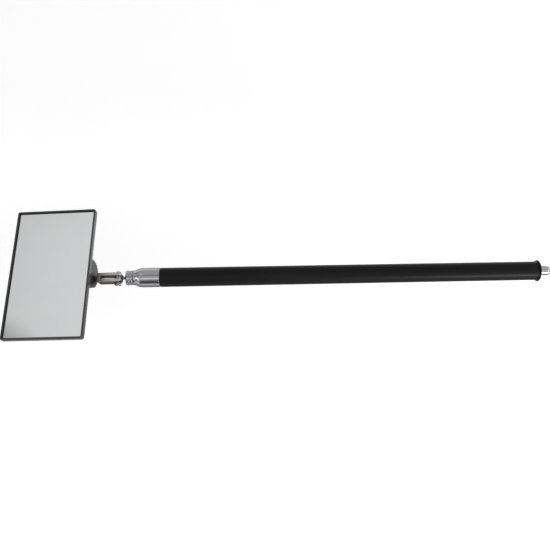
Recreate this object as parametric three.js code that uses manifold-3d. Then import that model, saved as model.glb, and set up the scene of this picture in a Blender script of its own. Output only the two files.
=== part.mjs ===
// Telescoping inspection mirror.
// Millimetres. +X runs along the handle and points out of its butt end, +Z is up,
// and the origin is the middle of the flat tip of the end knob. The mirror is at -X.
import * as THREE from 'three';
import { mergeVertices } from 'three/addons/utils/BufferGeometryUtils.js';
import Module from 'manifold-3d';

// ---------------------------------------------------------------- driving dimensions
const GAP = 0.05;              // room between pieces that are fixed to each other

// handle, stations along X from the knob's tip
const KNOB_R = 3.3, KNOB_TIP_R = 1.5, KNOB_BACK = -8.2;
const CAP_FACE = -8.3, CAP_FRONT = -9.6, FLANGE_R = 7.5;
const GRIP_R = 6.5, GRIP_BORE = 4.5, GRIP_FRONT = -271.8;
const TUBE_R = 4.4, TUBE_BORE = 3.9, TUBE_REAR = -9.1, TUBE_FRONT = -284.0;
const FERRULE_REAR = -271.9, FERRULE_NOSE = -289.5, NOSE_R = 4.95;
const PLUG_FRONT = -19.6, STUD_R = 1.5;

// telescoping sections, all drawn pushed fully in
const S1_R = 3.2, S1_BORE = 2.8, S1_LIP = 2.45, S1_FRONT = -289.3, S1_REAR = -20.6;
const S2_R = 2.3, S2_BORE = 1.95, S2_LIP = 1.65, S2_FRONT = -289.1, S2_REAR = -23.6;
const ROD_R = 1.5, ROD_SPIGOT_R = 1.0, ROD_REAR = -26.6;
const COLLAR_REAR = -289.8, COLLAR_FRONT = -294.3, COLLAR_R = 4.95;

// knuckle at the end of the rod
const PIVOT_X = -299.4;        // pivot screw's axis crosses the rod's axis here
const EYE_R = 2.6, EYE_T = 1.7, NECK_R = 1.0;
const ROD_TURN = -8;           // degrees about X, the rod's turn as stored
const PITCH = -10;             // degrees about the pivot screw, as stored
const LINK_YAW = -2.27;        // degrees across, taken up by the play of the screw in the eye

// hairpin link, in its own frame: s along the link, h along the pivot screw, n across
const LEG_IN = 1.15, LEG_OUT = 3.15, LINK_HALF_W = 3.3;
const BEND_OUT = -14.0, BEND_IN = -11.3, TIP = 3.3;
const SCREW_R = 0.95, HEAD_R = 1.9, NUT_FLATS = 4.0;
const RIVET_R = 1.0;

// mirror head, in the swivel frame (same origin, turned about s)
const SWIVEL = -3.4;           // degrees about s, as stored
const EAR_FRONT = -15.4, EAR_T = 1.3, EAR_R = 9.3, EAR_L = 1.2, EAR_N = 5.8;
const EAR_SIDE = -10.8, EAR_SIDE_N = 12, EAR_MEET = 33;   // this side slopes in from the flange to the round ear
const BRACKET_RIVETS = [5, -5];
const FLANGE_END = -31;
const TRAY_W = 54.5, TRAY_H = 90, TRAY_D = 4, TRAY_CORNER = 1.6, TRAY_SKIN = 0.6;
const TRAY_POS = [-40.92, -1.27, 17.84];
const LIP_W = 1.15, LIP_T = 0.5, GLASS_FACE = 1.4, GLASS_T = 1.5;

// ---------------------------------------------------------------- helpers
const wasm = await Module();
wasm.setup();

// merges vertices, drops collapsed triangles and turns the faces outward
function clean(geometry) {
  let g = geometry.index ? geometry.toNonIndexed() : geometry.clone();
  for (const name of Object.keys(g.attributes)) if (name !== 'position') g.deleteAttribute(name);
  g = mergeVertices(g, 1e-4);
  const p = g.attributes.position, src = g.index.array, keep = [];
  let volume = 0;
  const a = new THREE.Vector3(), b = new THREE.Vector3(), c = new THREE.Vector3();
  for (let i = 0; i < src.length; i += 3) {
    const [x, y, z] = [src[i], src[i + 1], src[i + 2]];
    if (x === y || y === z || z === x) continue;
    keep.push(x, y, z);
    a.fromBufferAttribute(p, x); b.fromBufferAttribute(p, y); c.fromBufferAttribute(p, z);
    volume += a.dot(b.cross(c));
  }
  if (volume < 0) for (let i = 0; i < keep.length; i += 3) [keep[i + 1], keep[i + 2]] = [keep[i + 2], keep[i + 1]];
  g.setIndex(keep);
  return g;
}
function toSolid(geometry) {
  const g = clean(geometry);
  return new wasm.Manifold(new wasm.Mesh({
    numProp: 3,
    vertProperties: new Float32Array(g.attributes.position.array),
    triVerts: new Uint32Array(g.index.array),
  }));
}
function fromSolid(solid) {
  const m = solid.getMesh();
  const g = new THREE.BufferGeometry();
  g.setAttribute('position', new THREE.BufferAttribute(new Float32Array(m.vertProperties), 3));
  g.setIndex(new THREE.BufferAttribute(new Uint32Array(m.triVerts), 1));
  return g;
}
const cut = (base, ...tools) => fromSolid(tools.reduce((s, t) => s.subtract(toSolid(t)), toSolid(base)));
const join = (base, ...more) => fromSolid(more.reduce((s, t) => s.add(toSolid(t)), toSolid(base)));
const common = (base, other) => fromSolid(toSolid(base).intersect(toSolid(other)));

// body of revolution about X, from [radius, x] pairs
function turned(profile, segments = 32) {
  const g = new THREE.LatheGeometry(profile.map(([r, x]) => new THREE.Vector2(r, x)), segments);
  g.rotateY(Math.PI / segments);
  g.rotateZ(-Math.PI / 2);
  return g;
}
// the same about Y (h) and about Z (n)
function turnedY(profile, segments = 24) {
  return new THREE.LatheGeometry(profile.map(([r, y]) => new THREE.Vector2(r, y)), segments);
}
function turnedZ(profile, segments = 24) {
  const g = turnedY(profile, segments);
  g.rotateX(Math.PI / 2);
  return g;
}
const pipe = (rOut, rIn, x0, x1) => [[rIn, x0], [rOut, x0], [rOut, x1], [rIn, x1], [rIn, x0]];
const rodOf = (r, x0, x1) => [[0, x0], [r, x0], [r, x1], [0, x1]];
// outline in the XY plane, extruded along +Z from z0 to z1
function slab(shape, z0, z1, curveSegments = 6) {
  const g = new THREE.ExtrudeGeometry(shape, { depth: z1 - z0, bevelEnabled: false, steps: 1, curveSegments });
  g.translate(0, 0, z0);
  return g;
}
function roundRect(w, h, r, cx = 0, cy = 0) {
  const s = new THREE.Shape(), x = cx - w / 2, y = cy - h / 2;
  s.moveTo(x + r, y);
  s.lineTo(x + w - r, y); s.absarc(x + w - r, y + r, r, -Math.PI / 2, 0);
  s.lineTo(x + w, y + h - r); s.absarc(x + w - r, y + h - r, r, 0, Math.PI / 2);
  s.lineTo(x + r, y + h); s.absarc(x + r, y + h - r, r, Math.PI / 2, Math.PI);
  s.lineTo(x, y + r); s.absarc(x + r, y + r, r, Math.PI, 1.5 * Math.PI);
  return s;
}
const at = (g, x, y, z) => { g.translate(x, y, z); return g; };

// ---------------------------------------------------------------- finishes
const finish = {
  chrome: [0xd9dbdd, 0.12, 1.0],
  steel: [0xa9a19c, 0.34, 1.0],
  blackSteel: [0x26282a, 0.28, 0.6],
  pvc: [0x171817, 0.48, 0.0],
  plastic: [0x111213, 0.35, 0.0],
  brass: [0xb08d4a, 0.3, 1.0],
  mirror: [0xeef0f1, 0.02, 1.0],
  rubber: [0x121213, 0.7, 0.0],
  foam: [0x2c2c2e, 0.9, 0.0],
};
const part = new THREE.Group();
function add(group, name, geometry, look) {
  const [color, roughness, metalness] = finish[look];
  const mesh = new THREE.Mesh(clean(geometry), new THREE.MeshStandardMaterial({ color, roughness, metalness }));
  mesh.name = name;
  group.add(mesh);
  return mesh;
}
const rad = THREE.MathUtils.degToRad;

// ---------------------------------------------------------------- handle
const handle = new THREE.Group();
part.add(handle);

add(handle, 'end_knob', turned([
  [0, 0], [KNOB_TIP_R, 0], [2.25, -0.35], [2.85, -1.0], [3.2, -1.8], [KNOB_R, -2.7], [KNOB_R, -7.8], [3.1, KNOB_BACK],
  [STUD_R, KNOB_BACK], [STUD_R, -18.6], [1.2, -19.0], [0, -19.0]]), 'chrome');

add(handle, 'end_cap', turned([
  [STUD_R + GAP * 2, CAP_FACE], [3.4, CAP_FACE], [5.6, -8.38], [7.1, -8.58], [7.4, -8.75], [FLANGE_R, -8.95],
  [FLANGE_R, -9.4], [7.3, CAP_FRONT], [TUBE_R + 0.1, CAP_FRONT], [TUBE_R + 0.1, -9.05], [STUD_R + GAP * 2, -9.05],
  [STUD_R + GAP * 2, CAP_FACE]]), 'plastic');

add(handle, 'end_plug', turned([
  [STUD_R + 0.08, -9.35], [TUBE_BORE - 0.08, -9.35], [TUBE_BORE - 0.08, -12.6], [3.5, -12.9], [3.5, -13.9],
  [TUBE_BORE - 0.08, -14.2], [TUBE_BORE - 0.08, -19.2], [3.5, PLUG_FRONT], [STUD_R + 0.08, PLUG_FRONT],
  [STUD_R + 0.08, -9.35]]), 'steel');

add(handle, 'handle_tube', turned(pipe(TUBE_R, TUBE_BORE, TUBE_REAR, TUBE_FRONT)), 'steel');

add(handle, 'grip_sleeve', turned([
  [GRIP_BORE, CAP_FRONT - 0.1], [6.35, CAP_FRONT - 0.1], [GRIP_R, -10.0],
  [GRIP_R, GRIP_FRONT + 1.2], [6.38, GRIP_FRONT + 0.5], [6.1, GRIP_FRONT + 0.1], [5.9, GRIP_FRONT], [GRIP_BORE, GRIP_FRONT],
  [GRIP_BORE, CAP_FRONT - 0.1]]), 'pvc');

add(handle, 'front_ferrule', turned([
  [TUBE_R + GAP, FERRULE_REAR], [6.4, FERRULE_REAR], [GRIP_R, FERRULE_REAR - 0.12], [GRIP_R, -283.4],
  [6.42, -284.2], [6.2, -285.1], [5.85, -286.0], [5.42, -286.9], [5.1, -287.6], [NOSE_R, -288.2],
  [NOSE_R, FERRULE_NOSE + 0.4], [4.6, FERRULE_NOSE], [3.42, FERRULE_NOSE], [3.42, -288.5], [4.0, -288.5],
  [4.0, -284.3], [TUBE_R + GAP, -284.3], [TUBE_R + GAP, FERRULE_REAR]]), 'chrome');

add(handle, 'guide_bush', turned(pipe(3.95, 3.32, -284.35, -288.4)), 'brass');

// ---------------------------------------------------------------- telescoping sections
const section1 = new THREE.Group(), section2 = new THREE.Group(), carriage = new THREE.Group();
part.add(section1, section2, carriage);

add(section1, 'section_1_tube', turned([
  [S1_BORE, S1_REAR], [S1_R, S1_REAR], [S1_R, S1_FRONT + 0.3], [3.0, S1_FRONT], [S1_LIP, S1_FRONT],
  [S1_LIP, S1_FRONT + 0.7], [S1_BORE, S1_FRONT + 1.4], [S1_BORE, S1_REAR]], 28), 'chrome');
add(section1, 'section_1_friction_bush', turned([
  [S1_R + 0.06, -21.0], [3.6, -21.0], [TUBE_BORE - 0.1, -21.8], [TUBE_BORE - 0.1, -29.2], [3.6, -30.0],
  [S1_R + 0.06, -30.0], [S1_R + 0.06, -21.0]], 28), 'brass');

add(section2, 'section_2_tube', turned([
  [S2_BORE, S2_REAR], [S2_R, S2_REAR], [S2_R, S2_FRONT + 0.3], [2.1, S2_FRONT], [S2_LIP, S2_FRONT],
  [S2_LIP, S2_FRONT + 0.7], [S2_BORE, S2_FRONT + 1.3], [S2_BORE, S2_REAR]], 24), 'chrome');
add(section2, 'section_2_friction_bush', turned([
  [S2_R + 0.06, -24.0], [2.5, -24.0], [S1_BORE - 0.08, -24.6], [S1_BORE - 0.08, -31.4], [2.5, -32.0],
  [S2_R + 0.06, -32.0], [S2_R + 0.06, -24.0]], 24), 'brass');

add(carriage, 'rod_friction_bush', turned([
  [ROD_SPIGOT_R + 0.1, -27.9], [1.7, -27.9], [S2_BORE - 0.07, -28.4], [S2_BORE - 0.07, -33.6], [1.7, -34.1],
  [ROD_SPIGOT_R + 0.1, -34.1], [ROD_SPIGOT_R + 0.1, -27.9]], 24), 'brass');

// rod, pull collar and knuckle eye: they turn together in the friction bush
const rod = new THREE.Group();
rod.rotation.x = rad(ROD_TURN);
part.add(rod);
add(rod, 'inner_rod', turned([
  [0, ROD_REAR], [1.2, ROD_REAR], [1.45, ROD_REAR - 0.3], [1.45, -27.7], [ROD_SPIGOT_R, -27.7], [ROD_SPIGOT_R, -34.3],
  [ROD_R, -34.3], [ROD_R, -291.9], [0, -291.9]], 20), 'chrome');
add(rod, 'pull_collar', turned([
  [ROD_R + GAP, COLLAR_REAR], [4.7, COLLAR_REAR], [COLLAR_R, COLLAR_REAR - 0.3], [COLLAR_R, -291.1],
  [4.55, -291.35], [4.55, -291.85], [COLLAR_R, -292.1], [COLLAR_R, -293.5], [4.6, -294.0], [3.9, COLLAR_FRONT],
  [ROD_R + GAP, COLLAR_FRONT], [ROD_R + GAP, COLLAR_REAR]]), 'chrome');
{
  // flat eye with a round shank, drilled across for the pivot screw
  const eye = turnedY([[0, -EYE_T / 2], [EYE_R - 0.2, -EYE_T / 2], [EYE_R, -EYE_T / 2 + 0.2], [EYE_R, EYE_T / 2 - 0.2],
    [EYE_R - 0.2, EYE_T / 2], [0, EYE_T / 2]], 28);
  at(eye, PIVOT_X, 0, 0);
  const web = new THREE.Shape();
  web.moveTo(PIVOT_X, -2.3); web.lineTo(PIVOT_X + 1.6, -2.1); web.lineTo(-296.2, -0.95); web.lineTo(-295.8, -0.95);
  web.lineTo(-295.8, 0.95); web.lineTo(-296.2, 0.95); web.lineTo(PIVOT_X + 1.6, 2.1); web.lineTo(PIVOT_X, 2.3);
  const webSolid = slab(web, -EYE_T / 2, EYE_T / 2);
  webSolid.rotateX(Math.PI / 2);
  const shank = turned([[0, -292.1], [ROD_R - 0.02, -292.1], [ROD_R - 0.02, -294.5], [NECK_R, -295.2], [NECK_R, -296.6],
    [0.7, -297.2], [0, -297.2]], 20);
  const hole = turnedY(rodOf(SCREW_R + 0.1, -3, 3), 20);
  at(hole, PIVOT_X, 0, 0);
  add(rod, 'rod_eye', cut(join(eye, webSolid, shank), hole), 'steel');
}

// ---------------------------------------------------------------- hairpin link
const link = new THREE.Group();
link.position.set(PIVOT_X, 0, 0);
link.rotation.set(rad(ROD_TURN), rad(PITCH), rad(LINK_YAW));   // Rx * Ry * Rz: the rod's turn, the pitch about the screw, the play across it
part.add(link);
{
  // one strip bent double: outline in s-h, extruded across n
  const u = new THREE.Shape();
  const ro = 1.2;
  u.moveTo(TIP, LEG_IN);
  u.lineTo(TIP, 1.55); u.lineTo(2.2, 2.5); u.lineTo(1.1, LEG_OUT);
  u.lineTo(BEND_OUT + ro, LEG_OUT); u.absarc(BEND_OUT + ro, LEG_OUT - ro, ro, Math.PI / 2, Math.PI);
  u.lineTo(BEND_OUT, -(LEG_OUT - ro)); u.absarc(BEND_OUT + ro, -(LEG_OUT - ro), ro, Math.PI, 1.5 * Math.PI);
  u.lineTo(1.1, -LEG_OUT); u.lineTo(2.2, -2.5); u.lineTo(TIP, -1.55); u.lineTo(TIP, -LEG_IN);
  const ri = 0.5;
  u.lineTo(BEND_IN + ri, -LEG_IN); u.absarc(BEND_IN + ri, -(LEG_IN - ri), ri, 1.5 * Math.PI, Math.PI, true);
  u.lineTo(BEND_IN, LEG_IN - ri); u.absarc(BEND_IN + ri, LEG_IN - ri, ri, Math.PI, Math.PI / 2, true);
  const strip = slab(u, -LINK_HALF_W, LINK_HALF_W, 5);
  // round ends about the pivot and slightly narrowed bend, seen along h
  const plan = new THREE.Shape();
  plan.moveTo(0, -LINK_HALF_W); plan.absarc(0, 0, LINK_HALF_W, -Math.PI / 2, Math.PI / 2);
  plan.lineTo(-13.3, LINK_HALF_W); plan.lineTo(BEND_OUT - 0.2, 2.6); plan.lineTo(BEND_OUT - 0.2, -2.6);
  plan.lineTo(-13.3, -LINK_HALF_W);
  const planSolid = slab(plan, -4, 4, 10);
  planSolid.rotateX(Math.PI / 2);
  const screwHole = turnedY(rodOf(SCREW_R + 0.06, -4, 4), 20);
  const rivetHole = turned(rodOf(RIVET_R + 0.06, BEND_OUT - 1, BEND_IN + 1), 20);
  add(link, 'clamp_link', cut(common(strip, planSolid), screwHole, rivetHole), 'steel');
}
{
  const body = turnedY([[0, -5.4], [0.7, -5.4], [SCREW_R, -5.1], [SCREW_R, 3.2], [HEAD_R, 3.2], [HEAD_R, 3.95],
    [1.65, 4.3], [1.1, 4.55], [0, 4.62]], 24);
  const slot = new THREE.BoxGeometry(5, 1.1, 0.5);
  slot.rotateY(0.9);
  at(slot, 0, 4.6, 0);
  add(link, 'pivot_screw', cut(body, slot), 'steel');
}
add(link, 'pivot_spring_washer', turnedY([[SCREW_R + 0.1, -3.2], [2.05, -3.2], [2.05, -3.65], [SCREW_R + 0.1, -3.65],
  [SCREW_R + 0.1, -3.2]], 24), 'steel');
{
  const hex = new THREE.Shape();
  for (let i = 0; i < 6; i++) {
    const a = Math.PI / 6 + i * Math.PI / 3, r = NUT_FLATS / Math.sqrt(3);
    if (i) hex.lineTo(r * Math.cos(a), r * Math.sin(a)); else hex.moveTo(r * Math.cos(a), r * Math.sin(a));
  }
  const prism = slab(hex, 3.72, 5.05);
  prism.rotateX(Math.PI / 2);
  const crown = turnedY([[0, -3.6], [2.05, -3.6], [2.4, -3.95], [2.4, -4.75], [2.0, -5.15], [0, -5.15]], 24);
  const bore = turnedY(rodOf(SCREW_R + 0.08, -6, -3), 20);
  add(link, 'pivot_nut', cut(common(prism, crown), bore), 'steel');
}
{
  // swivel rivet along s: a flat-sided head inside the bend, and its peened end behind the ear
  const pin = turned([[0, -10.3], [1.7, -10.3], [1.95, -10.6], [1.95, BEND_IN + 0.1], [RIVET_R, BEND_IN + 0.1],
    [RIVET_R, -16.8], [1.75, -16.8], [1.75, -17.2], [1.2, -17.75], [0, -17.95]], 24);
  const flats = new THREE.BoxGeometry(30, 1.6, 8);
  at(flats, -5, 0, 0);
  const headOnly = common(pin, flats);
  const shank = turned([[0, -11.9], [RIVET_R, -11.9], [RIVET_R, -16.8], [1.75, -16.8], [1.75, -17.2], [1.2, -17.75], [0, -17.95]], 24);
  const cutoff = new THREE.BoxGeometry(10, 8, 8);
  at(cutoff, -17.5, 0, 0);
  add(link, 'swivel_rivet', join(cut(headOnly, cutoff), shank), 'steel');
}
add(link, 'swivel_washer', turned(pipe(2.6, RIVET_R + 0.08, BEND_OUT - 0.05, BEND_OUT - 0.55), 24), 'steel');
{
  // wave washer, a thin ring with three waves
  const g = turned([[RIVET_R + 0.1, -14.75], [2.45, -14.75], [2.45, -15.05], [RIVET_R + 0.1, -15.05], [RIVET_R + 0.1, -14.75]], 36);
  const p = g.attributes.position;
  for (let i = 0; i < p.count; i++) {
    const a = Math.atan2(p.getZ(i), p.getY(i));
    p.setX(i, p.getX(i) + 0.13 * Math.cos(3 * a));
  }
  add(link, 'swivel_wave_washer', g, 'steel');
}

// ---------------------------------------------------------------- mirror head
const head = new THREE.Group();
head.rotation.x = rad(SWIVEL);
link.add(head);
{
  // ear bracket: a flange riveted to the tray's back, folded down into a round ear
  const back = TRAY_POS[2] - TRAY_D - GAP, sOut = EAR_FRONT, sIn = EAR_FRONT - EAR_T;
  const l = new THREE.Shape();
  l.moveTo(sOut, -6); l.lineTo(sOut, back - 1.6);
  l.absarc(sOut - 1.6, back - 1.6, 1.6, 0, Math.PI / 2);
  l.lineTo(FLANGE_END, back); l.lineTo(FLANGE_END, back - EAR_T); l.lineTo(sIn - 0.3, back - EAR_T);
  l.absarc(sIn - 0.3, back - EAR_T - 0.3, 0.3, Math.PI / 2, 0, true);
  l.lineTo(sIn, -6);
  const bent = slab(l, -12, 12, 4);
  bent.rotateX(Math.PI / 2);           // s, n in the XZ plane, extruded along l
  const outline = new THREE.Shape();   // l-n outline of the ear
  const meet = Math.PI + rad(EAR_MEET);
  outline.moveTo(EAR_SIDE, 16); outline.lineTo(EAR_SIDE, EAR_SIDE_N);
  outline.lineTo(EAR_L + EAR_R * Math.cos(meet), EAR_N + EAR_R * Math.sin(meet));
  outline.absarc(EAR_L, EAR_N, EAR_R, meet, 2 * Math.PI);
  outline.lineTo(EAR_L + EAR_R, 16);
  const prism = slab(outline, -20, 20, 14);
  prism.rotateX(Math.PI / 2); prism.rotateZ(Math.PI / 2);   // outline (x, y) -> (l, n), extruded along s
  at(prism, -25, 0, 0);
  const corner = roundRect(60, EAR_L + EAR_R - EAR_SIDE, 4, FLANGE_END + 30, (EAR_L + EAR_R + EAR_SIDE) / 2);
  const plan = slab(corner, -20, 20, 5);
  const hole = turned(rodOf(RIVET_R + 0.08, -18, -14), 20);
  const r1 = at(turnedZ(rodOf(1.28, 5, 20), 20), -24, BRACKET_RIVETS[0], 0);
  const r2 = at(turnedZ(rodOf(1.28, 5, 20), 20), -24, BRACKET_RIVETS[1], 0);
  add(head, 'ear_bracket', cut(common(common(bent, prism), plan), hole, r1, r2), 'steel');
}
for (const [name, dy] of [['bracket_rivet_1', BRACKET_RIVETS[0]], ['bracket_rivet_2', BRACKET_RIVETS[1]]]) {
  const back = TRAY_POS[2] - TRAY_D - GAP, under = back - EAR_T - GAP;
  add(head, name, at(turnedZ([[0, under - 1.0], [1.1, under - 0.9], [1.9, under - 0.35], [2.0, under], [1.2, under],
    [1.2, TRAY_POS[2] - TRAY_D + TRAY_SKIN - 0.05], [0, TRAY_POS[2] - TRAY_D + TRAY_SKIN - 0.05]], 24), -24, dy, 0), 'steel');
}
const frame = new THREE.Group();
frame.position.set(...TRAY_POS);
head.add(frame);
{
  const outer = slab(roundRect(TRAY_W, TRAY_H, TRAY_CORNER), -TRAY_D, 0, 5);
  const pocket = slab(roundRect(TRAY_W - 2 * TRAY_SKIN, TRAY_H - 2 * TRAY_SKIN, 1.0), -TRAY_D + TRAY_SKIN, -LIP_T, 4);
  const window_ = slab(roundRect(TRAY_W - 2 * LIP_W, TRAY_H - 2 * LIP_W, 0.8), -LIP_T - 0.5, 1, 4);
  const holes = BRACKET_RIVETS.map((dy) => at(turnedZ(rodOf(1.3, -6, -3), 20), -24 - TRAY_POS[0], dy - TRAY_POS[1], 0));
  add(frame, 'mirror_tray', cut(outer, pocket, window_, ...holes), 'blackSteel');
  // rubber ring under the lip, which holds the glass down
  const inset = TRAY_SKIN + GAP, inner = LIP_W + 0.3;
  const ring = slab(roundRect(TRAY_W - 2 * inset, TRAY_H - 2 * inset, 0.95), -GLASS_FACE + GAP, -LIP_T - GAP, 4);
  const hollow = slab(roundRect(TRAY_W - 2 * inner, TRAY_H - 2 * inner, 0.75), -GLASS_FACE - 1, 0, 4);
  add(frame, 'edge_gasket', cut(ring, hollow), 'rubber');
  add(frame, 'mirror_glass', slab(roundRect(TRAY_W - 2 * TRAY_SKIN - 0.3, TRAY_H - 2 * TRAY_SKIN - 0.3, 1.0), -GLASS_FACE - GLASS_T, -GLASS_FACE, 4), 'mirror');
  add(frame, 'backing_pad', slab(roundRect(TRAY_W - 3, TRAY_H - 3, 1.2), -TRAY_D + TRAY_SKIN + GAP, -GLASS_FACE - GLASS_T - GAP, 4), 'foam');
}

export default part;
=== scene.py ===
import math
import bpy
import bmesh
from mathutils import Matrix, Vector, noise


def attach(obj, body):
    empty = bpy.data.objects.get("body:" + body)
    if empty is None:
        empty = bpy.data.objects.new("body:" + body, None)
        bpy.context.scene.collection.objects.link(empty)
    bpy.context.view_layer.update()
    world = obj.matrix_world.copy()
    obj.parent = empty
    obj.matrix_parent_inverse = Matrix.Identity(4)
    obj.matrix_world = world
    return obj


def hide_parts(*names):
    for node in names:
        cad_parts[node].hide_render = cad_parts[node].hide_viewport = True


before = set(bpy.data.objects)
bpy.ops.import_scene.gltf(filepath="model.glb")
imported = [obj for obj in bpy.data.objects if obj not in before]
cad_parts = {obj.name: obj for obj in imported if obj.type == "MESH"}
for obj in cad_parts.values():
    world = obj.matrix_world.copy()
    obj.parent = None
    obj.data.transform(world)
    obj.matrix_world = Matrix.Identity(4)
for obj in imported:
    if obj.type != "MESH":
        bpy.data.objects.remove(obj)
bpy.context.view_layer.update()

# ------------------------------------------------------------------ dimensions, millimetres
PIVOT_X = -299.4
ROD_TURN, PITCH, YAW, SWIVEL = (math.radians(a) for a in (-8, -10, -2.27, -3.4))
TRAY_POS = Vector((-40.92, -1.27, 17.84))
LEG_IN, LEG_OUT, HALF_W = 1.15, 3.15, 3.3
BEND_OUT, BEND_IN, TIP = -14.0, -11.3, 3.3
EAR_FRONT, EAR_T, EAR_R, EAR_L, EAR_N, FLANGE_END = -15.4, 1.3, 9.3, 1.2, 5.8, -31.0
EAR_SIDE, EAR_SIDE_N, EAR_MEET, BRACKET_RIVETS = -10.8, 12, 33, (5, -5)
TRAY_W, TRAY_H, TRAY_D, SKIN, CORNER, LIP_W = 54.5, 90.0, 4.0, 0.6, 1.6, 1.15

ROW = Matrix.Identity(4)
ROD = Matrix.Rotation(ROD_TURN, 4, "X")
LINK = Matrix.Translation((PIVOT_X, 0, 0)) @ Matrix.Rotation(ROD_TURN, 4, "X") @ Matrix.Rotation(PITCH, 4, "Y") @ Matrix.Rotation(YAW, 4, "Z")
HEAD = LINK @ Matrix.Rotation(SWIVEL, 4, "X")
TRAY = HEAD @ Matrix.Translation(TRAY_POS)


# ------------------------------------------------------------------ materials
def new_material(name):
    m = bpy.data.materials.new(name)
    m.use_nodes = True
    nt = m.node_tree
    nt.nodes.clear()
    out = nt.nodes.new("ShaderNodeOutputMaterial")
    bsdf = nt.nodes.new("ShaderNodeBsdfPrincipled")
    nt.links.new(bsdf.outputs[0], out.inputs["Surface"])
    return m, nt, bsdf


def coords(nt, scale=(1, 1, 1), kind="Object"):
    tc = nt.nodes.new("ShaderNodeTexCoord")
    mp = nt.nodes.new("ShaderNodeMapping")
    mp.inputs["Scale"].default_value = scale
    nt.links.new(tc.outputs[kind], mp.inputs["Vector"])
    return mp.outputs["Vector"]


def noise_tex(nt, vec, scale, detail=4.0, rough=0.55, distortion=0.0):
    n = nt.nodes.new("ShaderNodeTexNoise")
    n.inputs["Scale"].default_value = scale
    n.inputs["Detail"].default_value = detail
    n.inputs["Roughness"].default_value = rough
    n.inputs["Distortion"].default_value = distortion
    nt.links.new(vec, n.inputs["Vector"])
    return n.outputs["Fac"]


def spread(nt, value, lo, hi, from_lo=0.3, from_hi=0.7):
    r = nt.nodes.new("ShaderNodeMapRange")
    r.inputs["From Min"].default_value = from_lo
    r.inputs["From Max"].default_value = from_hi
    r.inputs["To Min"].default_value = lo
    r.inputs["To Max"].default_value = hi
    nt.links.new(value, r.inputs["Value"])
    return r.outputs["Result"]


def ramp(nt, value, stops):
    r = nt.nodes.new("ShaderNodeValToRGB")
    e = r.color_ramp.elements
    while len(e) > 1:
        e.remove(e[-1])
    e[0].position, e[0].color = stops[0][0], (*stops[0][1], 1)
    for p, c in stops[1:]:
        k = e.new(p)
        k.color = (*c, 1)
    nt.links.new(value, r.inputs["Fac"])
    return r.outputs["Color"]


def bump(nt, bsdf, height, strength, distance=0.0001, after=None):
    b = nt.nodes.new("ShaderNodeBump")
    b.inputs["Strength"].default_value = strength
    b.inputs["Distance"].default_value = distance
    nt.links.new(height, b.inputs["Height"])
    if after is not None:
        nt.links.new(after, b.inputs["Normal"])
    nt.links.new(b.outputs["Normal"], bsdf.inputs["Normal"])
    return b.outputs["Normal"]


def chrome(name, tint=(0.55, 0.552, 0.56), rough=(0.05, 0.13), streak=(1, 1, 1)):
    m, nt, b = new_material(name)
    fine = noise_tex(nt, coords(nt, streak), 900, 5, 0.6)
    broad = noise_tex(nt, coords(nt), 120, 3)
    b.inputs["Metallic"].default_value = 1.0
    col = ramp(nt, broad, [(0.3, tuple(c * 0.94 for c in tint)), (0.7, tint)])
    nt.links.new(col, b.inputs["Base Color"])
    nt.links.new(spread(nt, fine, *rough), b.inputs["Roughness"])
    b.inputs["Specular Tint"].default_value = (0.12, 0.12, 0.125, 1.0)     # the dip in the plate's reflectance near grazing
    bump(nt, b, fine, 0.05, 0.00002)
    return m


def steel(name, tint=(0.52, 0.49, 0.475), streak=(60, 900, 900), rough=(0.22, 0.40), scale=1.0):
    m, nt, b = new_material(name)
    grain = noise_tex(nt, coords(nt, streak), scale, 6, 0.65)
    patch = noise_tex(nt, coords(nt), 260, 4, 0.6)
    b.inputs["Metallic"].default_value = 1.0
    col = ramp(nt, patch, [(0.25, tuple(c * 0.80 for c in tint)), (0.5, tint), (0.8, tuple(min(1, c * 1.12) for c in tint))])
    nt.links.new(col, b.inputs["Base Color"])
    nt.links.new(spread(nt, grain, *rough), b.inputs["Roughness"])
    n = bump(nt, b, grain, 0.25, 0.00003)
    bump(nt, b, patch, 0.12, 0.00004, after=n)
    return m


def black_enamel(name):
    m, nt, b = new_material(name)
    peel = noise_tex(nt, coords(nt), 700, 3, 0.5)
    dust = noise_tex(nt, coords(nt), 2600, 5, 0.7)
    col = ramp(nt, dust, [(0.35, (0.024, 0.026, 0.026)), (0.62, (0.032, 0.034, 0.034)), (0.78, (0.052, 0.053, 0.054))])
    nt.links.new(col, b.inputs["Base Color"])
    nt.links.new(spread(nt, peel, 0.20, 0.34), b.inputs["Roughness"])
    b.inputs["IOR"].default_value = 1.52
    b.inputs["Coat Weight"].default_value = 0.25
    b.inputs["Coat Roughness"].default_value = 0.12
    bump(nt, b, peel, 0.10, 0.00004)
    return m


def vinyl(name):
    m, nt, b = new_material(name)
    # extrusion lines run along the sleeve; a fine pebble lies over them
    lines = noise_tex(nt, coords(nt, (6, 1500, 1500)), 1.0, 5, 0.6)
    pebble = noise_tex(nt, coords(nt), 3200, 4, 0.6)
    wear = noise_tex(nt, coords(nt, (14, 90, 90)), 1.0, 4, 0.55)
    col = ramp(nt, wear, [(0.25, (0.0066, 0.0067, 0.0066)), (0.55, (0.0084, 0.0085, 0.0084)), (0.85, (0.0118, 0.0120, 0.0118))])
    nt.links.new(col, b.inputs["Base Color"])
    nt.links.new(spread(nt, wear, 0.36, 0.46), b.inputs["Roughness"])
    b.inputs["Specular IOR Level"].default_value = 0.13
    n = bump(nt, b, lines, 0.18, 0.00003)
    bump(nt, b, pebble, 0.10, 0.00002, after=n)
    return m


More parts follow.
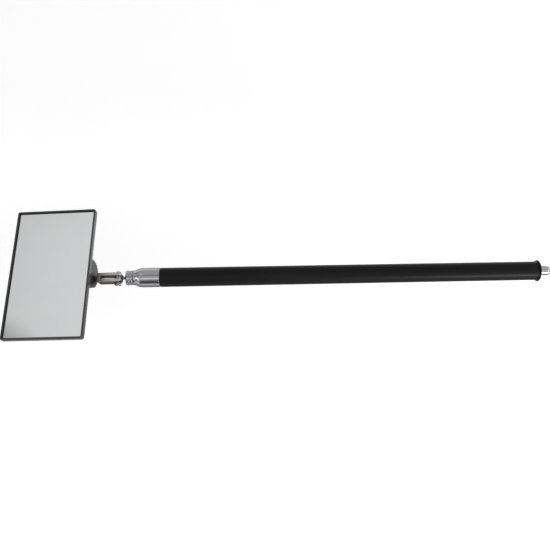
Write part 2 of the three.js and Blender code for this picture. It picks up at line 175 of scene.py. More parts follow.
def moulded(name, color=(0.010, 0.0105, 0.011)):
    m, nt, b = new_material(name)
    grain = noise_tex(nt, coords(nt), 2400, 4, 0.6)
    swirl = noise_tex(nt, coords(nt), 240, 3, 0.5, 1.2)
    col = ramp(nt, swirl, [(0.3, color), (0.7, tuple(c * 1.7 for c in color))])
    nt.links.new(col, b.inputs["Base Color"])
    nt.links.new(spread(nt, grain, 0.24, 0.42), b.inputs["Roughness"])
    bump(nt, b, grain, 0.16, 0.00003)
    return m


def brass(name):
    m, nt, b = new_material(name)
    turn = noise_tex(nt, coords(nt, (2600, 40, 40)), 1.0, 4, 0.6)
    tone = noise_tex(nt, coords(nt), 300, 4, 0.6)
    b.inputs["Metallic"].default_value = 1.0
    col = ramp(nt, tone, [(0.3, (0.50, 0.36, 0.15)), (0.7, (0.72, 0.55, 0.26))])
    nt.links.new(col, b.inputs["Base Color"])
    nt.links.new(spread(nt, turn, 0.2, 0.38), b.inputs["Roughness"])
    bump(nt, b, turn, 0.2, 0.00003)
    return m


def silvered(name):
    m, nt, b = new_material(name)
    haze = noise_tex(nt, coords(nt), 60, 4, 0.6)
    specks = noise_tex(nt, coords(nt), 1800, 3, 0.6)
    b.inputs["Metallic"].default_value = 1.0
    col = ramp(nt, haze, [(0.3, (0.905, 0.915, 0.925)), (0.7, (0.93, 0.935, 0.94))])
    nt.links.new(col, b.inputs["Base Color"])
    nt.links.new(spread(nt, specks, 0.012, 0.03), b.inputs["Roughness"])
    return m


def glass_edge(name):
    m, nt, b = new_material(name)
    n = noise_tex(nt, coords(nt), 900, 4, 0.6)
    col = ramp(nt, n, [(0.3, (0.42, 0.50, 0.47)), (0.7, (0.55, 0.62, 0.585))])
    nt.links.new(col, b.inputs["Base Color"])
    nt.links.new(spread(nt, n, 0.10, 0.25), b.inputs["Roughness"])
    b.inputs["Metallic"].default_value = 0.35
    return m


def rubber(name):
    m, nt, b = new_material(name)
    grain = noise_tex(nt, coords(nt), 2800, 4, 0.6)
    col = ramp(nt, grain, [(0.3, (0.007, 0.007, 0.0072)), (0.7, (0.013, 0.013, 0.0134))])
    nt.links.new(col, b.inputs["Base Color"])
    nt.links.new(spread(nt, grain, 0.5, 0.7), b.inputs["Roughness"])
    b.inputs["Specular IOR Level"].default_value = 0.25
    bump(nt, b, grain, 0.25, 0.00003)
    return m


def foam(name):
    m, nt, b = new_material(name)
    cells = nt.nodes.new("ShaderNodeTexVoronoi")
    cells.inputs["Scale"].default_value = 3000
    nt.links.new(coords(nt), cells.inputs["Vector"])
    col = ramp(nt, cells.outputs["Distance"], [(0.0, (0.02, 0.02, 0.021)), (0.6, (0.06, 0.06, 0.062))])
    nt.links.new(col, b.inputs["Base Color"])
    b.inputs["Roughness"].default_value = 0.9
    bump(nt, b, cells.outputs["Distance"], 0.5, 0.0001)
    return m


M = {
    "chrome": chrome("chrome_plate", streak=(2600, 60, 60)),
    "chrome_tube": chrome("chrome_tube", rough=(0.07, 0.16), streak=(20, 700, 700)),
    "steel": steel("satin_steel", tint=(0.73, 0.672, 0.65), rough=(0.34, 0.50)),
    # painted shade: the next two are darkened copies of the satin steel, for the link's broad faces and the faces
    # inside its slot
    "painted_shade_face": steel("painted_shade_face_steel", tint=(0.056, 0.051, 0.049), rough=(0.28, 0.46)),
    "painted_shade_slot": steel("painted_shade_slot_steel", tint=(0.12, 0.11, 0.105), rough=(0.4, 0.6)),
    "steel_turned": steel("turned_steel", tint=(0.42, 0.40, 0.39), streak=(300, 300, 300), rough=(0.18, 0.34)),
    "ear_steel": steel("bracket_steel", tint=(0.076, 0.070, 0.066), streak=(900, 60, 900), rough=(0.26, 0.44)),
    "enamel": black_enamel("black_enamel"),
    "vinyl": vinyl("black_vinyl"),
    "plastic": moulded("black_moulded"),
    "brass": brass("turned_brass"),
    "mirror": silvered("silvered_glass"),
    "glass_edge": glass_edge("glass_edge"),
    "rubber": rubber("gasket_rubber"),
    "foam": foam("foam_pad"),
}


# ------------------------------------------------------------------ mesh helpers
def finish_mesh(name, me, matrix, body, material, node=None, weighted=True, smooth=True):
    """me holds millimetres in a local frame; the object gets metres in the row frame."""
    me.transform(Matrix.Scale(0.001, 4) @ matrix)
    me.validate()
    me.update()
    ob = bpy.data.objects.new(name, me)
    bpy.context.scene.collection.objects.link(ob)
    for mat in material if isinstance(material, (list, tuple)) else [material]:
        me.materials.append(mat)
    if smooth:
        for p in me.polygons:
            p.use_smooth = True
    if weighted:
        w = ob.modifiers.new("weighted", "WEIGHTED_NORMAL")
        w.mode = "FACE_AREA_WITH_ANGLE"
        w.weight = 50
        w.keep_sharp = False
    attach(ob, body)
    if node:
        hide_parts(*([node] if isinstance(node, str) else node))
    return ob


def fillet(profile, closed, steps=5):
    """profile: (r, x[, fillet radius]). Returns the outline with its corners rounded."""
    n = len(profile)
    out = []
    for i, p in enumerate(profile):
        r = p[2] if len(p) > 2 else 0
        if not r or (not closed and i in (0, n - 1)):
            out.append((p[0], p[1]))
            continue
        a, b, c = Vector(profile[i - 1][:2]), Vector(p[:2]), Vector(profile[(i + 1) % n][:2])
        u, v = (a - b), (c - b)
        lu, lv = u.length, v.length
        u.normalize(); v.normalize()
        ang = math.acos(max(-1, min(1, u.dot(v))))
        if ang > math.radians(176):
            out.append((p[0], p[1]))
            continue
        t = min(r / math.tan(ang / 2), lu * 0.48, lv * 0.48)
        rr = t * math.tan(ang / 2)
        bis = (u + v).normalized()
        centre = b + bis * (rr / math.sin(ang / 2))
        p0, p1 = b + u * t, b + v * t
        d0, d1 = p0 - centre, p1 - centre
        a0 = math.atan2(d0.y, d0.x)
        da = math.atan2(d0.x * d1.y - d0.y * d1.x, d0.dot(d1))
        for k in range(steps + 1):
            q = a0 + da * k / steps
            out.append((centre.x + rr * math.cos(q), centre.y + rr * math.sin(q)))
    return out


def lathe(profile, closed, segments=160, axis="X", steps=5, max_step=None):
    pts = fillet(profile, closed, steps)
    if max_step:
        dense = []
        m = len(pts)
        for i in range(m if closed else m - 1):
            a, b = pts[i], pts[(i + 1) % m]
            k = max(1, int(math.ceil(math.hypot(a[0] - b[0], a[1] - b[1]) / max_step)))
            dense += [(a[0] + (b[0] - a[0]) * j / k, a[1] + (b[1] - a[1]) * j / k) for j in range(k)]
        if not closed:
            dense.append(pts[-1])
        pts = dense
    bm = bmesh.new()
    rings = []
    for r, x in pts:
        if r < 1e-6:
            rings.append([bm.verts.new((0, 0, x))])
        else:
            rings.append([bm.verts.new((r * math.cos(2 * math.pi * i / segments), r * math.sin(2 * math.pi * i / segments), x)) for i in range(segments)])
    m = len(rings)
    for k in range(m if closed else m - 1):
        a, b = rings[k], rings[(k + 1) % m]
        for i in range(segments):
            j = (i + 1) % segments
            if len(a) == 1 and len(b) == 1:
                continue
            if len(a) == 1:
                bm.faces.new((a[0], b[j], b[i]))
            elif len(b) == 1:
                bm.faces.new((a[i], a[j], b[0]))
            else:
                bm.faces.new((a[i], a[j], b[j], b[i]))
    bmesh.ops.recalc_face_normals(bm, faces=bm.faces[:])
    me = bpy.data.meshes.new("lathe")
    bm.to_mesh(me)
    bm.free()
    if axis == "X":      # z -> x
        me.transform(Matrix(((0, 0, 1, 0), (1, 0, 0, 0), (0, 1, 0, 0), (0, 0, 0, 1))))
    elif axis == "Y":    # z -> y
        me.transform(Matrix(((0, 1, 0, 0), (0, 0, 1, 0), (1, 0, 0, 0), (0, 0, 0, 1))))
    return me


def prism(outline, lo, hi, axis="Z"):
    """outline: (a, b) pairs; axis Z: (x, y); axis Y: (x, z) along y; axis X: (y, z) along x."""
    bm = bmesh.new()
    put = {"Z": lambda a, b, t: (a, b, t), "Y": lambda a, b, t: (a, t, b), "X": lambda a, b, t: (t, a, b)}[axis]
    low = [bm.verts.new(put(a, b, lo)) for a, b in outline]
    high = [bm.verts.new(put(a, b, hi)) for a, b in outline]
    n = len(outline)
    bm.faces.new(low)
    bm.faces.new(high[::-1])
    for i in range(n):
        j = (i + 1) % n
        bm.faces.new((low[i], low[j], high[j], high[i]))
    bmesh.ops.recalc_face_normals(bm, faces=bm.faces[:])
    me = bpy.data.meshes.new("prism")
    bm.to_mesh(me)
    bm.free()
    return me


def arc(cx, cy, r, a0, a1, n=10):
    return [(cx + r * math.cos(math.radians(a0 + (a1 - a0) * k / n)), cy + r * math.sin(math.radians(a0 + (a1 - a0) * k / n))) for k in range(n + 1)]


def round_rect(w, h, r, cx=0, cy=0, n=8):
    x, y = w / 2 - r, h / 2 - r
    return (arc(cx + x, cy - y, r, -90, 0, n) + arc(cx + x, cy + y, r, 0, 90, n) + arc(cx - x, cy + y, r, 90, 180, n) + arc(cx - x, cy - y, r, 180, 270, n))


def boolean(base, op, *tools):
    """Exact booleans on scratch objects, applied; returns the new mesh."""
    ob = bpy.data.objects.new("scratch_base", base)
    bpy.context.scene.collection.objects.link(ob)
    others = []
    for t in tools:
        o = bpy.data.objects.new("scratch_tool", t)
        bpy.context.scene.collection.objects.link(o)
        mod = ob.modifiers.new("b", "BOOLEAN")
        mod.operation = op
        mod.solver = "EXACT"
        mod.object = o
        others.append(o)
    deps = bpy.context.evaluated_depsgraph_get()
    me = bpy.data.meshes.new_from_object(ob.evaluated_get(deps))
    for o in others + [ob]:
        bpy.data.objects.remove(o, do_unlink=True)
    return me


def bevelled(me, width, segments=3, angle=32):
    ob = bpy.data.objects.new("scratch_bevel", me)
    bpy.context.scene.collection.objects.link(ob)
    b = ob.modifiers.new("bevel", "BEVEL")
    b.width = width
    b.segments = segments
    b.limit_method = "ANGLE"
    b.angle_limit = math.radians(angle)
    b.use_clamp_overlap = True
    b.harden_normals = False
    deps = bpy.context.evaluated_depsgraph_get()
    out = bpy.data.meshes.new_from_object(ob.evaluated_get(deps))
    bpy.data.objects.remove(ob, do_unlink=True)
    return out


# ------------------------------------------------------------------ camera, floor and light
scene = bpy.context.scene
cam_data = bpy.data.cameras.new("camera")
cam_data.sensor_width = 36.0
cam_data.lens = 45.82
cam_data.clip_start = 0.01
cam = bpy.data.objects.new("camera", cam_data)
scene.collection.objects.link(cam)
right = Vector((0.997, -0.0304, 0.0713)).normalized()
back = Vector((-0.0754, -0.1680, 0.9829)).normalized()
up = back.cross(right).normalized()
right = up.cross(back).normalized()
rot = Matrix((right, up, back)).transposed().to_4x4()
cam.matrix_world = Matrix.Translation((-0.2299, -0.0801, 0.4701)) @ rot
scene.camera = cam

FLOOR_Z = -0.085      # the mirror swings as low as -0.0735 under the handle


def make_floor():
    bm = bmesh.new()
    bmesh.ops.create_grid(bm, x_segments=8, y_segments=8, size=4.0)
    me = bpy.data.meshes.new("floor")
    bm.to_mesh(me)
    bm.free()
    ob = bpy.data.objects.new("floor", me)
    ob.location = (-0.18, 0, FLOOR_Z)
    scene.collection.objects.link(ob)
    m, nt, b = new_material("paper_floor")
    n = noise_tex(nt, coords(nt), 40, 4)
    col = ramp(nt, n, [(0.3, (0.86, 0.86, 0.865)), (0.7, (0.88, 0.88, 0.885))])
    nt.links.new(col, b.inputs["Base Color"])
    b.inputs["Roughness"].default_value = 0.9
    b.inputs["Specular IOR Level"].default_value = 0.1
    b.inputs["Emission Color"].default_value = (1.0, 1.0, 1.0, 1.0)      # a softly lit table
    b.inputs["Emission Strength"].default_value = 0.36

    # painted reflection: to glossy rays only, the table in front of the tool shows a soft grey emission patch instead
    # of its own white
    def soft(value, lo, hi, flip=False):
        r = nt.nodes.new("ShaderNodeMapRange")
        r.interpolation_type = "SMOOTHSTEP"
        r.inputs["From Min"].default_value = lo
        r.inputs["From Max"].default_value = hi
        r.inputs["To Min"].default_value = 1.0 if flip else 0.0
        r.inputs["To Max"].default_value = 0.0 if flip else 1.0
        nt.links.new(value, r.inputs["Value"])
        return r.outputs["Result"]

    def times(p, q):
        t = nt.nodes.new("ShaderNodeMath")
        t.operation = "MULTIPLY"
        nt.links.new(p, t.inputs[0])
        nt.links.new(q, t.inputs[1])
        return t.outputs[0]

    geo = nt.nodes.new("ShaderNodeNewGeometry")
    sep = nt.nodes.new("ShaderNodeSeparateXYZ")
    nt.links.new(geo.outputs["Position"], sep.inputs[0])
    x, y = sep.outputs["X"], sep.outputs["Y"]
    far = nt.nodes.new("ShaderNodeVectorMath")             # the table glows a little more where the lamps reach it less
    far.operation = "DISTANCE"
    far.inputs[1].default_value = (-0.18, 0.0, FLOOR_Z)
    nt.links.new(geo.outputs["Position"], far.inputs[0])
    glow = nt.nodes.new("ShaderNodeMapRange")
    glow.interpolation_type = "SMOOTHSTEP"
    glow.inputs["From Min"].default_value = 0.4
    glow.inputs["From Max"].default_value = 1.7
    glow.inputs["To Min"].default_value = 0.37
    glow.inputs["To Max"].default_value = 0.64
    nt.links.new(far.outputs["Value"], glow.inputs["Value"])
    nt.links.new(glow.outputs["Result"], b.inputs["Emission Strength"])
    # painted reflection: mask of the grey patch that only reflections see
    painted_reflection_patch = times(times(soft(y, -0.80, -0.40), soft(y, -0.03, 0.05, True)), times(soft(x, -1.0, -0.55), soft(x, 0.2, 0.6, True)))
    path = nt.nodes.new("ShaderNodeLightPath")
    painted_reflection_grey = nt.nodes.new("ShaderNodeEmission")
    painted_reflection_grey.inputs["Color"].default_value = (0.50, 0.495, 0.51, 1.0)
    pick = nt.nodes.new("ShaderNodeMixShader")
    out = next(q for q in nt.nodes if q.type == "OUTPUT_MATERIAL")
    nt.links.new(times(painted_reflection_patch, path.outputs["Is Glossy Ray"]), pick.inputs[0])
    nt.links.new(b.outputs[0], pick.inputs[1])
    nt.links.new(painted_reflection_grey.outputs[0], pick.inputs[2])
    nt.links.new(pick.outputs[0], out.inputs["Surface"])
    me.materials.append(m)
    return ob


make_floor()


def area(name, place, aim, size, power, size_y=None, spread_deg=180):
    d = bpy.data.lights.new(name, "AREA")
    d.shape = "RECTANGLE"
    d.size = size
    d.size_y = size_y or size
    d.energy = power
    d.spread = math.radians(spread_deg)
    o = bpy.data.objects.new(name, d)
    scene.collection.objects.link(o)
    o.location = place
    o.rotation_euler = (Vector(aim) - Vector(place)).to_track_quat("-Z", "Y").to_euler()
    return o


def studio():
    """A soft room: its brightness changes with the angle round the handle and with X."""
    w = bpy.data.worlds.new("studio")
    scene.world = w
    w.use_nodes = True
    nt = w.node_tree
    nt.nodes.clear()
    out = nt.nodes.new("ShaderNodeOutputWorld")
    bg = nt.nodes.new("ShaderNodeBackground")
    tc = nt.nodes.new("ShaderNodeTexCoord")
    sep = nt.nodes.new("ShaderNodeSeparateXYZ")
    nt.links.new(tc.outputs["Generated"], sep.inputs[0])
    at = nt.nodes.new("ShaderNodeMath")
    at.operation = "ARCTAN2"
    nt.links.new(sep.outputs["Y"], at.inputs[0])
    nt.links.new(sep.outputs["Z"], at.inputs[1])
    fac = nt.nodes.new("ShaderNodeMapRange")
    fac.inputs["From Min"].default_value = -math.pi
    fac.inputs["From Max"].default_value = math.pi
    nt.links.new(at.outputs[0], fac.inputs["Value"])

    def stop(deg, v, tint=(1, 1, 1)):
        return ((deg + 180) / 360, tuple(v * c for c in tint))

    col = ramp(nt, fac.outputs[0], [
        stop(-180, 0.52), stop(-100, 0.32), stop(-86, 0.155), stop(-72, 0.10, (0.97, 0.95, 1.05)), stop(-56, 0.105, (0.97, 0.95, 1.05)),
        stop(-44, 0.27, (1.0, 0.98, 1.03)), stop(-32, 0.64, (1.0, 0.985, 1.02)), stop(-20, 0.96), stop(-9, 0.64), stop(4, 0.47), stop(17, 0.29),
        stop(30, 0.43), stop(44, 0.50), stop(74, 0.50), stop(92, 0.44), stop(180, 0.52)])
    xr = nt.nodes.new("ShaderNodeMapRange")
    xr.inputs["From Min"].default_value = -1.0
    xr.inputs["From Max"].default_value = 1.0
    xr.inputs["To Min"].default_value = 0.82
    xr.inputs["To Max"].default_value = 1.26
    nt.links.new(sep.outputs["X"], xr.inputs["Value"])
    mix = nt.nodes.new("ShaderNodeVectorMath")
    mix.operation = "SCALE"
    nt.links.new(col, mix.inputs[0])
    nt.links.new(xr.outputs[0], mix.inputs["Scale"])

    def blob(toward, lo, hi, amount):
        dot = nt.nodes.new("ShaderNodeVectorMath")
        dot.operation = "DOT_PRODUCT"
        dot.inputs[1].default_value = Vector(toward).normalized()
        nt.links.new(tc.outputs["Generated"], dot.inputs[0])
        r = nt.nodes.new("ShaderNodeMapRange")
        r.interpolation_type = "SMOOTHSTEP"
        r.inputs["From Min"].default_value = lo
        r.inputs["From Max"].default_value = hi
        r.inputs["To Min"].default_value = 0.0
        r.inputs["To Max"].default_value = amount
        nt.links.new(dot.outputs["Value"], r.inputs["Value"])
        return r.outputs["Result"]

    total = mix.outputs[0]
    for value in (blob((-0.40, 0.42, 0.81), 0.93, 1.0, 0.26), blob((-0.61, 0.36, 0.71), 0.9950, 0.9988, -0.27)):
        plus = nt.nodes.new("ShaderNodeVectorMath")
        plus.operation = "ADD"
        nt.links.new(total, plus.inputs[0])
        nt.links.new(value, plus.inputs[1])
        total = plus.outputs[0]
    nt.links.new(total, bg.inputs["Color"])
    bg.inputs["Strength"].default_value = 1.0
    wall = nt.nodes.new("ShaderNodeBackground")           # the plain pale wall behind the table
    wall.inputs["Color"].default_value = (0.985, 0.985, 0.988, 1.0)
    path = nt.nodes.new("ShaderNodeLightPath")
    pick = nt.nodes.new("ShaderNodeMixShader")
    nt.links.new(path.outputs["Is Camera Ray"], pick.inputs[0])
    nt.links.new(bg.outputs[0], pick.inputs[1])
    nt.links.new(wall.outputs[0], pick.inputs[2])
    nt.links.new(pick.outputs[0], out.inputs["Surface"])


studio()
area("light_right", (0.95, 0.15, 0.60), (-0.15, 0, 0), 1.8, 3.2, 1.1)
area("light_left", (-1.35, -0.55, 0.52), (-0.25, 0, 0), 1.5, 3.2, 0.9)
area("light_strip", (0.40, -0.67, 0.29), (0.05, 0, 0), 0.6, 5.6, 0.22)
scene.view_settings.view_transform = "Standard"
scene.view_settings.look = "None"
scene.view_settings.exposure = 0.0
scene.view_settings.gamma = 1.0

# ------------------------------------------------------------------ handle
finish_mesh("end_knob_v", lathe([
    (0, 0), (1.5, 0, 0.12), (2.3, -0.33, 0.6), (2.92, -1.0, 0.8), (3.22, -1.8, 0.9), (3.3, -2.75, 0.9), (3.3, -7.8, 0.2), (3.1, -8.18, 0.12),
    (1.5, -8.18, 0.1), (1.5, -18.6, 0.1), (1.2, -19.0, 0.1), (0, -19.0)], False, 96), ROW, "handle", M["chrome"], "end_knob")
finish_mesh("end_cap_v", lathe([
    (1.6, -8.32, 0.12), (3.4, -8.32, 0.4), (5.6, -8.42, 1.5), (7.1, -8.72, 0.5), (7.5, -9.12, 0.25),
    (7.5, -9.42, 0.14), (7.28, -9.59, 0.08), (4.5, -9.59), (4.5, -9.05), (1.6, -9.05)], True, 160), ROW, "handle", M["plastic"], "end_cap")
finish_mesh("grip_sleeve_v", lathe([
    (4.5, -9.7), (6.34, -9.7, 0.1), (6.5, -10.02, 0.3), (6.5, -270.6, 0.5), (6.36, -271.3, 0.5), (6.05, -271.7, 0.4), (5.6, -271.8, 0.2),
    (4.5, -271.8)], True, 160, max_step=6.0), ROW, "handle", M["vinyl"], "grip_sleeve")
finish_mesh("front_ferrule_v", lathe([
    (4.45, -271.9), (6.4, -271.9, 0.06), (6.5, -272.02, 0.08), (6.5, -283.3, 3.0), (6.25, -285.0, 3.0), (5.75, -286.4, 2.5), (5.12, -287.6, 1.2),
    (4.95, -288.15, 0.5), (4.95, -289.15, 0.25), (4.65, -289.5, 0.12), (3.42, -289.5, 0.15), (3.42, -288.5), (4.0, -288.5), (4.0, -284.3),
    (4.45, -284.3)], True, 160, steps=8), ROW, "handle", M["chrome"], "front_ferrule")

# ------------------------------------------------------------------ sections and rod
finish_mesh("section_1_tube_v", lathe([
    (2.8, -20.6, 0.08), (3.2, -20.6, 0.08), (3.2, -288.7, 0.5), (2.95, -289.3, 0.2), (2.45, -289.3, 0.15), (2.45, -288.6, 0.1), (2.8, -287.9)],
    True, 120, max_step=12.0), ROW, "section_1", M["chrome_tube"], "section_1_tube")
finish_mesh("section_2_tube_v", lathe([
    (1.95, -23.6, 0.08), (2.3, -23.6, 0.08), (2.3, -288.5, 0.4), (2.1, -289.1, 0.2), (1.65, -289.1, 0.15), (1.65, -288.4, 0.1), (1.95, -287.8)],
    True, 100, max_step=12.0), ROW, "section_2", M["chrome_tube"], "section_2_tube")
finish_mesh("inner_rod_v", lathe([
    (0, -26.6), (1.2, -26.6, 0.1), (1.45, -26.9, 0.1), (1.45, -27.7), (1.0, -27.7), (1.0, -34.3), (1.5, -34.3, 0.1), (1.5, -291.9), (0, -291.9)],
    False, 80, max_step=12.0), ROD, "rod", M["chrome_tube"], "inner_rod")
finish_mesh("pull_collar_v", lathe([
    (1.55, -289.8), (4.65, -289.8, 0.15), (4.95, -290.1, 0.2), (4.95, -291.05, 0.2), (4.5, -291.3, 0.12), (4.5, -291.9, 0.12), (4.95, -292.15, 0.2),
    (4.95, -293.45, 0.3), (4.62, -293.98, 0.3), (3.9, -294.3, 0.15), (1.55, -294.3)], True, 160), ROD, "rod", M["chrome"], "pull_collar")


def rod_eye():
    eye = lathe([(0, -0.85), (2.6, -0.85, 0.22), (2.6, 0.85, 0.22), (0, 0.85)], False, 96, "Y")
    eye.transform(Matrix.Translation((PIVOT_X, 0, 0)))
    web = prism([(PIVOT_X, -2.35), (PIVOT_X + 0.9, -2.3), (PIVOT_X + 1.9, -1.85), (PIVOT_X + 2.7, -1.25), (-296.2, -0.97), (-295.6, -0.95),
                 (-295.6, 0.95), (-296.2, 0.97), (PIVOT_X + 2.7, 1.25), (PIVOT_X + 1.9, 1.85), (PIVOT_X + 0.9, 2.3), (PIVOT_X, 2.35)], -0.845, 0.845, "Y")
    shank = lathe([(0, -292.1), (1.48, -292.1), (1.48, -294.5, 0.2), (1.0, -295.2, 0.4), (1.0, -296.6, 0.3), (0.7, -297.2, 0.2), (0, -297.2)], False, 64)
    me = boolean(eye, "UNION", web, shank)
    me = boolean(me, "DIFFERENCE", _moved(lathe([(0, -3), (1.05, -3), (1.05, 3), (0, 3)], False, 64, "Y"), (PIVOT_X, 0, 0)))
    return bevelled(me, 0.12, 3, 40)


def _moved(me, by):
    me.transform(Matrix.Translation(by))
    return me


finish_mesh("rod_eye_v", rod_eye(), ROD, "rod", M["steel_turned"], "rod_eye")


# ------------------------------------------------------------------ hairpin link
def clamp_link():
    ro, ri = 1.2, 0.55
    o = [(TIP, LEG_IN), (TIP, 1.55), (2.2, 2.5), (1.1, LEG_OUT)]
    o += arc(BEND_OUT + ro, LEG_OUT - ro, ro, 90, 180, 14) + arc(BEND_OUT + ro, -(LEG_OUT - ro), ro, 180, 270, 14)
    o += [(1.1, -LEG_OUT), (2.2, -2.5), (TIP, -1.55), (TIP, -LEG_IN)]
    o += arc(BEND_IN + ri, -(LEG_IN - ri), ri, 270, 180, 8) + arc(BEND_IN + ri, LEG_IN - ri, ri, 180, 90, 8)
    strip = prism(o, -HALF_W, HALF_W, "Z")
    p = arc(0, 0, HALF_W, -90, 90, 28) + [(-13.3, HALF_W), (BEND_OUT - 0.2, 2.6), (BEND_OUT - 0.2, -2.6), (-13.3, -HALF_W)]
    plan = prism(p, -5, 5, "Y")
    me = boolean(strip, "INTERSECT", plan)
    me = boolean(me, "DIFFERENCE", lathe([(0, -5), (1.02, -5), (1.02, 5), (0, 5)], False, 64, "Y"),
                 lathe([(0, BEND_OUT - 1), (1.06, BEND_OUT - 1), (1.06, BEND_IN + 0.5), (0, BEND_IN + 0.5)], False, 64, "X"))
    me = bevelled(me, 0.28, 4, 35)
    for p in me.polygons:      # painted shade: the strip's broad faces get a darkened copy of the steel and the faces in its slot another; its sheared edges keep the bright steel
        c = p.center
        inner = abs(c.y) < LEG_IN + 0.06 and BEND_IN - 0.15 < c.x < TIP - 0.4
        p.material_index = 0 if abs(p.normal.z) > 0.5 else 2 if inner else 1
    return me


finish_mesh("clamp_link_v", clamp_link(), LINK, "link", [M["steel"], M["painted_shade_face"], M["painted_shade_slot"]], "clamp_link")


def pivot_screw():
    body = lathe([(0, -5.4), (0.72, -5.4, 0.05), (0.95, -5.1, 0.05), (0.95, 3.18, 0.03), (1.9, 3.18, 0.12), (1.9, 3.85, 0.4), (1.5, 4.42, 0.7), (0.7, 4.61, 0.9), (0, 4.62)],
                 False, 80, "Y")
    slot = prism([(-3, 4.2), (3, 4.2), (3, 6), (-3, 6)], -0.24, 0.24, "Z")
    slot.transform(Matrix.Rotation(0.9, 4, "Y"))
    return bevelled(boolean(body, "DIFFERENCE", slot), 0.05, 2, 50)


finish_mesh("pivot_screw_v", pivot_screw(), LINK, "link", M["steel_turned"], "pivot_screw")


def spring_washer():
    """A split ring of square wire, nearly closed."""
    bm = bmesh.new()
    n, rings = 96, []
    sec = [(1.06, -0.2), (2.02, -0.2), (2.02, 0.2), (1.06, 0.2)]
    for k in range(n + 1):
        a = math.radians(8 + 344 * k / n)
        lift = 0.0
        rings.append([bm.verts.new((r * math.cos(a), -3.42 + h + lift, r * math.sin(a))) for r, h in sec])
    for a, b in zip(rings, rings[1:]):
        for i in range(4):
            j = (i + 1) % 4
            bm.faces.new((a[i], a[j], b[j], b[i]))
    bm.faces.new(rings[0][::-1])
    bm.faces.new(rings[-1])
    bmesh.ops.recalc_face_normals(bm, faces=bm.faces[:])
    me = bpy.data.meshes.new("spring_washer")
    bm.to_mesh(me)
    bm.free()
    return bevelled(me, 0.06, 2, 40)


finish_mesh("pivot_spring_washer_v", spring_washer(), LINK, "link", M["steel_turned"], "pivot_spring_washer")


def nut():
    r = 4.0 / math.sqrt(3)
    hexa = prism([(r * math.cos(math.radians(30 + 60 * i)), r * math.sin(math.radians(30 + 60 * i))) for i in range(6)], -5.05, -3.72, "Y")
    crown = lathe([(0, -3.6), (2.02, -3.6), (2.42, -3.95), (2.42, -4.75), (2.0, -5.17), (0, -5.17)], False, 96, "Y")
    bore = lathe([(0, -5.9), (1.5, -5.9), (1.03, -4.8), (1.03, -3.9), (1.4, -3.3), (0, -3.3)], False, 64, "Y")
    return bevelled(boolean(boolean(hexa, "INTERSECT", crown), "DIFFERENCE", bore), 0.06, 3, 30)


finish_mesh("pivot_nut_v", nut(), LINK, "link", M["steel_turned"], "pivot_nut")


def swivel_rivet():
    head = lathe([(0, -10.3), (1.7, -10.3, 0.3), (1.95, -10.6, 0.2), (1.95, -11.2, 0.05), (0, -11.2)], False, 64)
    flats = prism([(-12, -0.8), (-10, -0.8), (-10, 0.8), (-12, 0.8)], -4, 4, "Z")
    head = boolean(head, "INTERSECT", flats)
    shank = lathe([(0, -10.9), (1.0, -10.9), (1.0, -16.8, 0.03), (1.78, -16.8, 0.08), (1.78, -17.15, 0.2), (1.3, -17.7, 0.5), (0.5, -17.93, 0.5), (0, -17.95)], False, 64)
    return bevelled(boolean(head, "UNION", shank), 0.05, 2, 50)


finish_mesh("swivel_rivet_v", swivel_rivet(), LINK, "link", M["steel_turned"], "swivel_rivet")
finish_mesh("swivel_washer_v", lathe([(1.08, -14.05, 0.06), (2.6, -14.05, 0.08), (2.6, -14.55, 0.08), (1.08, -14.55, 0.06)], True, 96), LINK, "link", M["steel_turned"], "swivel_washer")


def wave_washer():
    me = lathe([(1.1, -14.78, 0.04), (2.45, -14.78, 0.06), (2.45, -15.02, 0.06), (1.1, -15.02, 0.04)], True, 120, steps=3)
    for v in me.vertices:
        a = math.atan2(v.co.z, v.co.y)
        v.co.x += 0.13 * math.cos(3 * a)
    return me


finish_mesh("swivel_wave_washer_v", wave_washer(), LINK, "link", M["steel_turned"], "swivel_wave_washer")

# ------------------------------------------------------------------ mirror head
BACK = TRAY_POS.z - TRAY_D - 0.05
LOW = BACK - EAR_T - 0.05


def ear_bracket():
    so, si = EAR_FRONT, EAR_FRONT - EAR_T
    o = [(so, -6)] + arc(so - 1.6, BACK - 1.6, 1.6, 0, 90, 12) + [(FLANGE_END, BACK), (FLANGE_END, BACK - EAR_T)]
    o += arc(si - 0.35, BACK - EAR_T - 0.35, 0.35, 90, 0, 8) + [(si, -6)]
    bent = prism(o, -12, 12, "Y")
    ear = [(EAR_L + EAR_R, 17)] + arc(EAR_L, EAR_N, EAR_R, 0, EAR_MEET - 180, 60) + [(EAR_SIDE, EAR_SIDE_N), (EAR_SIDE, 17)]
    outline = prism(ear, -40, -5, "X")
    plan = prism(round_rect(60, EAR_L + EAR_R - EAR_SIDE, 4.0, FLANGE_END + 30, (EAR_L + EAR_R + EAR_SIDE) / 2, 12), -30, 30, "Z")
    me = boolean(boolean(bent, "INTERSECT", outline), "INTERSECT", plan)
    holes = [lathe([(0, -18), (1.08, -18), (1.08, -14), (0, -14)], False, 64, "X")]
    holes += [_moved(lathe([(0, 5), (1.28, 5), (1.28, 20), (0, 20)], False, 48, "Z"), (-24, dy, 0)) for dy in BRACKET_RIVETS]
    return bevelled(boolean(me, "DIFFERENCE", *holes), 0.2, 3, 40)


finish_mesh("ear_bracket_v", ear_bracket(), HEAD, "mirror_head", M["ear_steel"], "ear_bracket")
for name, dy in zip(("bracket_rivet_1", "bracket_rivet_2"), BRACKET_RIVETS):
    top = TRAY_POS.z - TRAY_D + SKIN - 0.05
    finish_mesh(name + "_v", _moved(lathe([(0, LOW - 1.0), (1.1, LOW - 0.9, 0.9), (1.9, LOW - 0.35, 0.3), (2.0, LOW, 0.06), (1.2, LOW), (1.2, top), (0, top)],
                                          False, 80, "Z"), (-24, dy, 0)), HEAD, "mirror_head", M["steel_turned"], name)


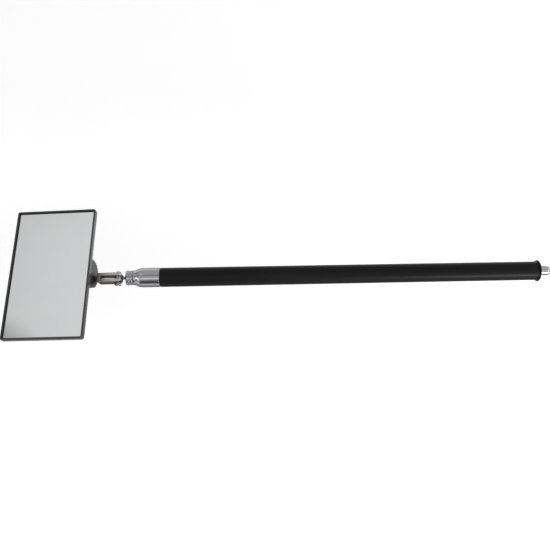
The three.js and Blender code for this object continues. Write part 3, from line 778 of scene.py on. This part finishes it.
def tray():
    """Pressed tray with a rolled lip, made as one profile carried round the rounded rectangle."""
    # (inset from the outer edge, height); the loop runs round the wall's section
    sec = [(0.34, -4.0), (0.12, -3.9), (0.02, -3.68), (0.0, -3.4), (0.0, -0.75), (0.03, -0.42), (0.14, -0.17), (0.34, -0.03), (0.55, 0.0), (0.80, -0.03),
           (1.0, -0.12), (1.12, -0.28), (1.15, -0.44), (1.08, -0.5), (0.6, -0.5), (0.6, -3.2), (0.75, -3.4)]
    n = 14

    def ring(inset, z):
        r = max(0.15, CORNER - inset)
        pts = round_rect(TRAY_W - 2 * inset, TRAY_H - 2 * inset, r, 0, 0, n)
        return [(x, y, z) for x, y in pts]
    bm = bmesh.new()
    rings = [[bm.verts.new(p) for p in ring(i, z)] for i, z in sec]
    m = len(rings[0])
    for a, b in zip(rings, rings[1:]):
        for i in range(m):
            j = (i + 1) % m
            bm.faces.new((a[i], a[j], b[j], b[i]))
    bm.faces.new(rings[0][::-1])
    bm.faces.new(rings[-1])
    bmesh.ops.recalc_face_normals(bm, faces=bm.faces[:])
    me = bpy.data.meshes.new("tray")
    bm.to_mesh(me)
    bm.free()
    holes = []
    for dy in BRACKET_RIVETS:
        holes.append(_moved(lathe([(0, -6), (1.3, -6), (1.3, -3), (0, -3)], False, 40, "Z"), (-24 - TRAY_POS.x, dy - TRAY_POS.y, 0)))
    return boolean(me, "DIFFERENCE", *holes)


finish_mesh("mirror_tray_v", tray(), TRAY, "mirror_head", M["enamel"], "mirror_tray")


def gasket():
    """Rubber ring between the lip and the glass."""
    sec = [(0.65, -0.55), (1.36, -0.55), (1.43, -0.61), (1.45, -0.7), (1.45, -1.22), (1.43, -1.31), (1.36, -1.35), (0.65, -1.35)]
    bm = bmesh.new()
    rings = [[bm.verts.new((x, y, z)) for x, y in round_rect(TRAY_W - 2 * i, TRAY_H - 2 * i, max(0.15, CORNER - i), 0, 0, 10)] for i, z in sec]
    m = len(rings[0])
    for k in range(len(rings)):
        a, b = rings[k], rings[(k + 1) % len(rings)]
        for i in range(m):
            j = (i + 1) % m
            bm.faces.new((a[i], a[j], b[j], b[i]))
    bmesh.ops.recalc_face_normals(bm, faces=bm.faces[:])
    me = bpy.data.meshes.new("gasket")
    bm.to_mesh(me)
    bm.free()
    return me


finish_mesh("edge_gasket_v", gasket(), TRAY, "mirror_head", M["rubber"], "edge_gasket")


def glass():
    """Silvered plate with a ground edge."""
    w, h = TRAY_W - 2 * SKIN - 0.3, TRAY_H - 2 * SKIN - 0.3
    sec = [(0.25, -2.9), (0.05, -2.8), (0.0, -2.65), (0.0, -1.65), (0.05, -1.53), (0.22, -1.42), (0.36, -1.4)]
    bm = bmesh.new()
    rings = [[bm.verts.new((x, y, z)) for x, y in round_rect(w - 2 * i, h - 2 * i, max(0.1, 1.0 - i), 0, 0, 8)] for i, z in sec]
    m = len(rings[0])
    for a, b in zip(rings, rings[1:]):
        for i in range(m):
            j = (i + 1) % m
            f = bm.faces.new((a[i], a[j], b[j], b[i]))
            f.material_index = 1
    bm.faces.new(rings[0][::-1])
    bm.faces.new(rings[-1])
    bmesh.ops.recalc_face_normals(bm, faces=bm.faces[:])
    me = bpy.data.meshes.new("glass")
    bm.to_mesh(me)
    bm.free()
    return me


finish_mesh("mirror_glass_v", glass(), TRAY, "mirror_head", [M["mirror"], M["glass_edge"]], "mirror_glass")

# ------------------------------------------------------------------ CAD nodes that stay, out of sight
for node, mat in {"handle_tube": "steel_turned", "end_plug": "steel_turned", "guide_bush": "brass", "section_1_friction_bush": "brass",
                  "section_2_friction_bush": "brass", "rod_friction_bush": "brass", "backing_pad": "foam"}.items():
    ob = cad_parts[node]
    for s in ob.material_slots:
        s.link = "OBJECT"
        s.material = M[mat]
